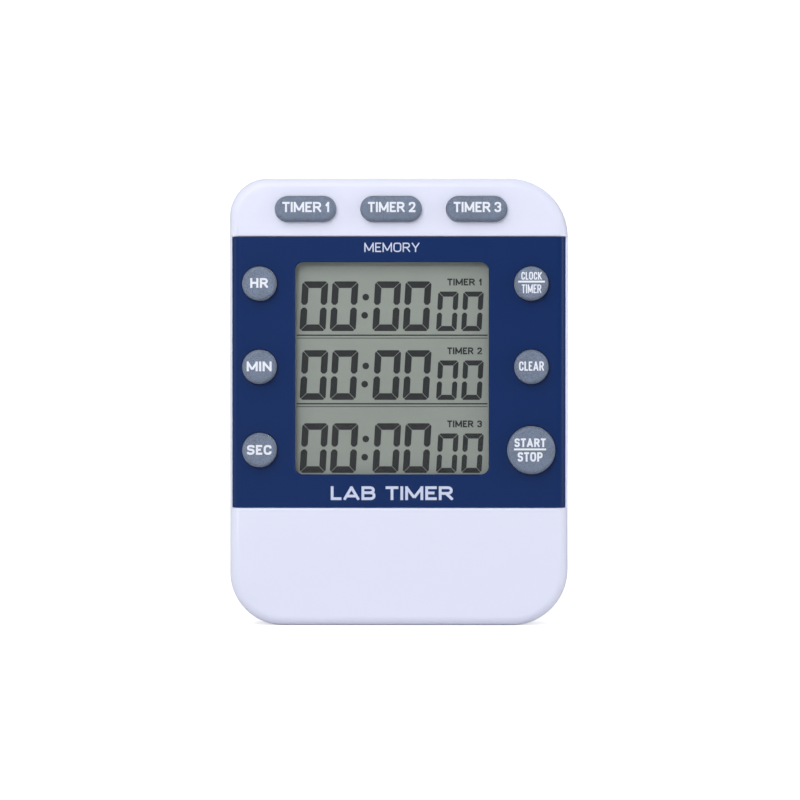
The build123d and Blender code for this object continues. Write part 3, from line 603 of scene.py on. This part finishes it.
# ---------------------------------------------------------------- digits
def zero_outlines(width, height, stroke):
    """The six lit segments of a seven-segment zero about its own middle, with mitred corners."""
    w, h, t = width / 2, height / 2, stroke
    g, cut = SEGMENT_GAP / 2, stroke * CORNER_CUT
    joint = JOINT_GAP / 2
    tip_start, tip_end = [-w + share * t for share in BLUNT_TIP]
    top = [(-w + t + g, h - t), (w - t - g, h - t), (w - g - cut / 2, h - cut / 2), (w - g - cut, h),
           (-w + g + cut, h), (-w + g + cut / 2, h - cut / 2)]
    side = [(-w, joint + cut), (tip_start, joint), (tip_end, joint), (-w + t, joint + cut),
            (-w + t, h - t - g), (-w + cut / 2, h - g - cut / 2), (-w, h - g - cut)]
    outlines = []
    for mirror_x, mirror_z, outline in ((1, 1, top), (1, -1, top), (1, 1, side), (-1, 1, side),
                                        (1, -1, side), (-1, -1, side)):
        flipped = [(x * mirror_x, z * mirror_z) for x, z in outline]
        outlines.append(flipped if mirror_x * mirror_z > 0 else flipped[::-1])
    return outlines


def slanted(outline, x, z):
    """The outline moved to x, z and leaned to the right."""
    return [(x + px + pz * DIGIT_SLANT, z + pz) for px, pz in outline]


def display_prints(ink):
    """Digits, colons and row labels on the front of the display film."""
    low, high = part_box("lcd_polariser")
    centre_x, centre_z = (low.x + high.x) / 2, (low.z + high.z) / 2
    front = low.y - INK
    for number, offset in enumerate(ROWS, start=1):
        row_z = centre_z + offset
        outlines = []
        for x in LARGE_X:
            outlines += [slanted(o, centre_x + x, row_z) for o in zero_outlines(**LARGE)]
        small_z = row_z - (LARGE["height"] - SMALL["height"]) / 2
        for x in SMALL_X:
            outlines += [slanted(o, centre_x + x, small_z) for o in zero_outlines(**SMALL)]
        for z in (COLON_Z, -COLON_Z):
            outlines.append(dot(centre_x + COLON_X + z * DIGIT_SLANT, row_z + z, COLON_R))
        name = f"timer_{number}_digits"
        new_piece(name, plate_mesh(name, outlines, front, 2 * INK), CASE, ink)
        name = f"timer_{number}_row_label"
        size = {key: ROW_LABEL[key] for key in ("width", "height", "stroke")}
        label = text_outlines(f"TIMER {number}", centre_x + ROW_LABEL["x"], row_z + ROW_LABEL["z"], **size)
        new_piece(name, plate_mesh(name, label, front, 2 * INK), CASE, ink)


def display_rules_and_shadows(ink):
    """A thin printed line between neighbouring rows, with a thinner dark line under it as its painted
    shadow.
    """
    low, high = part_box("lcd_polariser")
    x, centre_z = (low.x + high.x) / 2, (low.z + high.z) / 2
    outlines = []
    for offset in RULES:
        outlines.append(bar(x, centre_z + offset, RULE_WIDTH, RULE_HEIGHT))
        # painted shadow: a thinner dark line a little below the printed line
        outlines.append(bar(x, centre_z + offset - RULE_SHADOW_DROP, RULE_WIDTH, RULE_HEIGHT / 2))
    mesh = plate_mesh("display_rules_and_shadows", outlines, low.y - INK, 2 * INK)
    new_piece("display_rules_and_shadows", mesh, CASE, ink)


# ---------------------------------------------------------------- studio, in metres from the frame's origin
FLOOR_LENGTH = 2.2                  # in front, behind and to each side
WALL_HEIGHT = 2.0
WALL_CURVE_R = 0.6
WALL_CURVE_STEPS = 16
PAPER_DARK = srgb(222, 222, 222)
PAPER_LIGHT = srgb(226, 226, 226)
NEAR_GLOW = 0.62                    # how bright the camera sees the paper, near the timer and far from it
FAR_GLOW = 1.0
GLOW_START = 0.15
GLOW_END = 0.8

# The sky's light grows from SKY_LOW to SKY_HIGH between these two heights of the direction it comes from.
SKY_LOW = 0.14
SKY_HIGH = 0.44
SKY_RISE = (-0.1, 0.6)
SKY_SEEN = 1.0                      # what the camera sees of it

# Each lamp: its place, its width and height, and its power in watts.
LAMPS = {
    "key_light": ((-0.3, -0.93, 0.42), (0.35, 0.14), 2.6),
    "top_light": ((-0.14, -0.46, 0.5), (0.5, 0.35), 1.25),
    "right_light": ((0.85, -0.3, 0.25), (0.4, 0.7), 2.1),
    "left_light": ((-0.85, -0.25, 0.25), (0.4, 0.7), 1.05),
    "back_light": ((0.2, 0.75, 0.6), (0.7, 0.5), 2.0),
}

CAMERA_AIM = (0.19 * MM, 0, 0.31 * MM)      # from the middle of the timer
CAMERA_DISTANCE = 1.0068
CAMERA_AZIMUTH = 0.5                # degrees, towards the timer's right side
CAMERA_ELEVATION = 1.0              # degrees
CAMERA_LENS = 200
CAMERA_CLIP = (0.05, 10)


def studio_floor():
    """A pale floor that curves up into a wall behind the timer."""
    curve_y = FLOOR_LENGTH - WALL_CURVE_R
    profile = [(-FLOOR_LENGTH, 0.0), (curve_y, 0.0)]
    for i in range(1, WALL_CURVE_STEPS + 1):
        angle = math.pi / 2 * i / WALL_CURVE_STEPS
        profile.append((curve_y + WALL_CURVE_R * math.sin(angle), WALL_CURVE_R * (1 - math.cos(angle))))
    profile.append((FLOOR_LENGTH, WALL_HEIGHT))
    points = [(x, y, z) for y, z in profile for x in (-FLOOR_LENGTH, FLOOR_LENGTH)]
    faces = [(2 * i, 2 * i + 1, 2 * i + 3, 2 * i + 2) for i in range(len(profile) - 1)]
    mesh = bpy.data.meshes.new("studio_floor")
    mesh.from_pydata(points, [], faces)
    mesh.update()
    for face in mesh.polygons:
        face.use_smooth = True
    floor = bpy.data.objects.new("studio_floor", mesh)
    bpy.context.scene.collection.objects.link(floor)
    s = Shader("studio_paper", roughness=0.9)
    s.feed(Base_Color=s.colours(s.noise(6, 3), [(0.3, PAPER_DARK), (0.7, PAPER_LIGHT)]))
    # The camera sees the paper brighter than it lights the timer, as if the paper had a lamp of its own,
    # and most of all far from the timer.
    s.set(Emission_Color=(1, 1, 1, 1))
    distance = s.add("ShaderNodeVectorMath", operation="LENGTH")
    s.link(s.place, distance.inputs[0])
    glow = s.range(distance.outputs["Value"], NEAR_GLOW, FAR_GLOW, start=GLOW_START, end=GLOW_END)
    seen = s.add("ShaderNodeMath", operation="MULTIPLY")
    s.link(glow, seen.inputs[0])
    s.link(s.add("ShaderNodeLightPath").outputs["Is Camera Ray"], seen.inputs[1])
    s.feed(Emission_Strength=seen.outputs[0])
    mesh.materials.append(s.material)


def studio_world():
    """White where the camera sees it. The light it gives is brighter above than in front."""
    world = bpy.data.worlds.new("studio")
    bpy.context.scene.world = world
    world.use_nodes = True
    tree = world.node_tree
    background = tree.nodes["Background"]
    place = tree.nodes.new("ShaderNodeTexCoord")
    split = tree.nodes.new("ShaderNodeSeparateXYZ")
    ramp = tree.nodes.new("ShaderNodeMapRange")
    limits = (*SKY_RISE, SKY_LOW, SKY_HIGH)
    for name, number in zip(("From Min", "From Max", "To Min", "To Max"), limits):
        ramp.inputs[name].default_value = number
    camera_ray = tree.nodes.new("ShaderNodeLightPath")
    strength = tree.nodes.new("ShaderNodeMix")
    tree.links.new(place.outputs["Generated"], split.inputs["Vector"])
    tree.links.new(split.outputs["Z"], ramp.inputs["Value"])
    tree.links.new(camera_ray.outputs["Is Camera Ray"], strength.inputs["Factor"])
    tree.links.new(ramp.outputs["Result"], strength.inputs["A"])
    strength.inputs["B"].default_value = SKY_SEEN
    tree.links.new(strength.outputs["Result"], background.inputs["Strength"])
    background.inputs["Color"].default_value = (1, 1, 1, 1)


def softbox(name, place, size, power, target):
    """A rectangular white lamp that faces the target."""
    light = bpy.data.lights.new(name, "AREA")
    light.shape = "RECTANGLE"
    light.size, light.size_y = size
    light.energy = power
    lamp = bpy.data.objects.new(name, light)
    lamp.location = place
    lamp.rotation_mode = "QUATERNION"
    lamp.rotation_quaternion = (Vector(target) - Vector(place)).to_track_quat("-Z", "Y")
    bpy.context.scene.collection.objects.link(lamp)


def studio_camera(centre):
    """A long lens a little to the right of the timer and just above its middle."""
    azimuth, elevation = math.radians(CAMERA_AZIMUTH), math.radians(CAMERA_ELEVATION)
    away = Vector((math.sin(azimuth) * math.cos(elevation), -math.cos(azimuth) * math.cos(elevation),
                   math.sin(elevation)))
    camera = bpy.data.cameras.new("camera")
    camera.lens = CAMERA_LENS
    camera.clip_start, camera.clip_end = CAMERA_CLIP
    eye = bpy.data.objects.new("camera", camera)
    eye.location = Vector(centre) + Vector(CAMERA_AIM) + away * CAMERA_DISTANCE
    eye.rotation_mode = "QUATERNION"
    eye.rotation_quaternion = (-away).to_track_quat("-Z", "Y")
    bpy.context.scene.collection.objects.link(eye)
    bpy.context.scene.camera = eye


# ---------------------------------------------------------------- the scene
materials = make_materials()
dress_nodes(materials)
for name in MOULDED_NODES:
    soften_edges(NODES[name])

white_ink = printed_ink("white_ink", srgb(236, 240, 252))
pale_ink = printed_ink("pale_blue_ink", srgb(206, 214, 240))
dark_ink = printed_ink("lit_segments", srgb(20, 24, 31), roughness=0.5)
key_legends(white_ink)
panel_labels(pale_ink)
display_prints(dark_ink)
display_rules_and_shadows(dark_ink)

middle = (cad_box[0] + cad_box[1]) / 2
studio_floor()
studio_world()
for lamp_name, (place, size, power) in LAMPS.items():
    softbox(lamp_name, place, size, power, middle)
studio_camera(middle)
bpy.context.scene.view_settings.view_transform = "Standard"
